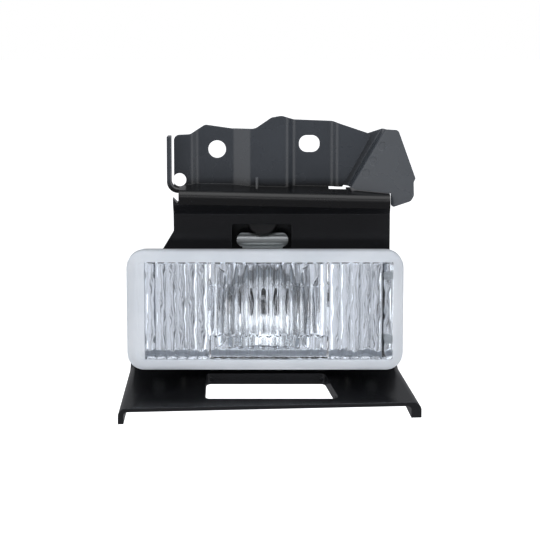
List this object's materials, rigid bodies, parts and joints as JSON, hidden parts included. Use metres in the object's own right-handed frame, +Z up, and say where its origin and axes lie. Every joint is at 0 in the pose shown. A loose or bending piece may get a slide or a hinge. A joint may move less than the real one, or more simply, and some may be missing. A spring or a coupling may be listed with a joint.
{
  "type": "fog light",
  "caption": "Rectangular vehicle fog light with a fluted glass lens, carried on a formed sheet-metal bracket with an aiming screw behind.",
  "frame": {"origin": "centre of the round bolt hole, at the back face of the upper bracket", "axes": "+X to the viewer's right when looking at the lens, +Y to the rear, +Z up; the round bolt hole's axis is along Y"},
  "size_m": [0.1586, 0.0779, 0.1569],
  "materials": {
    "bracket_paint": "satin dark slate coat",
    "panel_paint": "gloss black coat",
    "zinc_steel": "zinc plated",
    "lens_glass": "clear pressed glass, fluted inside",
    "seal_rubber": "matt",
    "housing_plastic": "moulded black",
    "reflector_mirror": "vacuum aluminised",
    "nylon_black": "moulded nylon",
    "nylon_white": "moulded nylon",
    "bulb_glass": "clear quartz",
    "tungsten": "wound wire",
    "terminal_brass": "stamped"
  },
  "bodies": {
    "bracket": {"upper_bracket": "bracket_paint", "gusset_flap": "bracket_paint", "carrier_panel": "panel_paint", "left_pivot_bracket": "panel_paint", "right_pivot_bracket": "panel_paint", "pivot_bracket_rivets": "zinc_steel", "adjuster_bracket": "panel_paint"},
    "lamp": {"lens": "lens_glass", "lens_seal": "seal_rubber", "housing": "housing_plastic", "reflector": "reflector_mirror", "reflector_screws": "zinc_steel", "vent_cap": "seal_rubber", "left_pivot_pin": "zinc_steel", "right_pivot_pin": "zinc_steel", "left_pivot_bush": "nylon_white", "right_pivot_bush": "nylon_white", "aim_strap": "zinc_steel", "aim_strap_rivets": "zinc_steel"},
    "bulb": {"bulb_base": "nylon_black", "bulb_glass": "bulb_glass", "bulb_filament": "tungsten", "bulb_seal_ring": "seal_rubber", "bulb_terminals": "terminal_brass"},
    "nut": {"adjuster_nut": "nylon_black"},
    "screw": {"aim_screw": "zinc_steel", "screw_clip": "zinc_steel"}
  },
  "joints": [
    {"name": "lamp_aim", "type": "hinge", "parent": "bracket", "child": "lamp", "pos_m": [0.0261, -0.007, -0.09605], "axis": [1, 0, 0], "range_deg": [-2.5, 2.5]},
    {"name": "nut_travel", "type": "slide", "parent": "bracket", "child": "nut", "axis": [0, 1, 0], "range_m": [-0.0026, 0.0026]},
    {"name": "aim_screw_turn", "type": "hinge", "parent": "bracket", "child": "screw", "pos_m": [0.0246, 0.01, -0.03795], "axis": [0, 1, 0], "range_deg": [-460, 460]},
    {"name": "bulb_twist_lock", "type": "hinge", "parent": "lamp", "child": "bulb", "pos_m": [0.0261, -0.002, -0.08105], "axis": [0, 1, 0], "range_deg": [0, 40]}
  ],
  "couplings": [
    {"joint": "nut_travel", "follows": "lamp_aim", "m_per_rad": -0.0581},
    {"joint": "aim_screw_turn", "follows": "lamp_aim", "ratio": 182.53}
  ]
}
